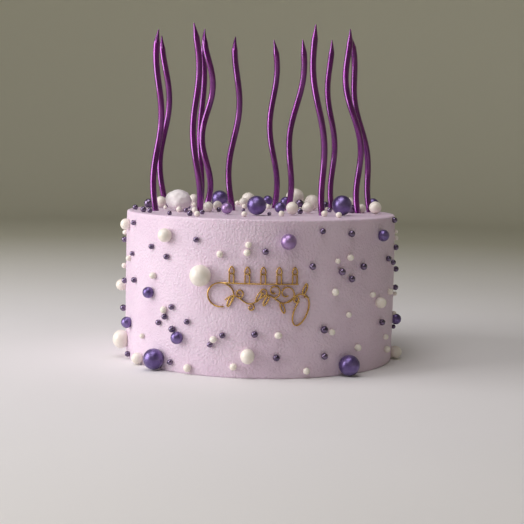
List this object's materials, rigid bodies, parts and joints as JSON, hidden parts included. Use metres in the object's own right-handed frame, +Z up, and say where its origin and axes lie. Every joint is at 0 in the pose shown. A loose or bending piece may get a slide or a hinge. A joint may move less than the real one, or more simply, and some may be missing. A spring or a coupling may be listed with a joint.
{
  "type": "birthday cake with candles",
  "caption": "Tall round iced cake with sugar pearls pressed round its side and strewn on top, slender wavy candles standing in it, and a thin gold ornament on the front.",
  "frame": {"origin": "centre of the cake's flat underside", "axes": "+Z up the cake and its candles; the gold ornament faces -Y"},
  "size_m": [0.2029, 0.2032, 0.2311],
  "materials": {
    "lilac_buttercream": "smooth satin buttercream",
    "metallic_wax": "metallic lacquered wax",
    "violet_pearl": "pearlescent sugar",
    "lavender_pearl": "pearlescent sugar",
    "ivory_pearl": "satin sugar",
    "gold_mirror": "polished mirror gold"
  },
  "bodies": {
    "root": {"cake": "lilac_buttercream", "candle_01": "metallic_wax", "candle_02": "metallic_wax", "candle_03": "metallic_wax", "candle_04": "metallic_wax", "candle_05": "metallic_wax", "candle_06": "metallic_wax", "candle_07": "metallic_wax", "candle_08": "metallic_wax", "candle_09": "metallic_wax", "candle_10": "metallic_wax", "candle_11": "metallic_wax", "candle_12": "metallic_wax", "charm": "gold_mirror", "pearl_ivory_side_01": "ivory_pearl", "pearl_ivory_side_02": "ivory_pearl", "pearl_ivory_side_03": "ivory_pearl", "pearl_ivory_side_04": "ivory_pearl", "pearl_ivory_side_05": "ivory_pearl", "pearl_ivory_side_06": "ivory_pearl", "pearl_ivory_side_07": "ivory_pearl", "pearl_ivory_side_08": "ivory_pearl", "pearl_ivory_side_09": "ivory_pearl", "pearl_ivory_side_10": "ivory_pearl", "pearl_ivory_side_11": "ivory_pearl", "pearl_ivory_side_12": "ivory_pearl", "pearl_ivory_side_13": "ivory_pearl", "pearl_ivory_side_14": "ivory_pearl", "pearl_ivory_top_01": "ivory_pearl", "pearl_ivory_top_02": "ivory_pearl", "pearl_ivory_top_03": "ivory_pearl", "pearl_ivory_top_04": "ivory_pearl", "pearl_ivory_top_05": "ivory_pearl", "pearl_ivory_top_06": "ivory_pearl", "pearl_ivory_top_07": "ivory_pearl", "pearl_ivory_top_08": "ivory_pearl", "pearl_ivory_top_09": "ivory_pearl", "pearl_lavender_side_01": "lavender_pearl", "pearl_lavender_side_02": "lavender_pearl", "pearl_lavender_top_01": "lavender_pearl", "pearl_violet_side_01": "violet_pearl", "pearl_violet_side_02": "violet_pearl", "pearl_violet_side_03": "violet_pearl", "pearl_violet_side_04": "violet_pearl", "pearl_violet_side_05": "violet_pearl", "pearl_violet_side_06": "violet_pearl", "pearl_violet_side_07": "violet_pearl", "pearl_violet_side_08": "violet_pearl", "pearl_violet_side_09": "violet_pearl", "pearl_violet_side_10": "violet_pearl", "pearl_violet_side_11": "violet_pearl", "pearl_violet_top_01": "violet_pearl", "pearl_violet_top_02": "violet_pearl", "pearl_violet_top_03": "violet_pearl", "pearl_violet_top_04": "violet_pearl", "pearl_violet_top_05": "violet_pearl", "pearl_violet_top_06": "violet_pearl", "pearl_violet_top_07": "violet_pearl", "truffle_ivory": "ivory_pearl"}
  },
  "joints": []
}
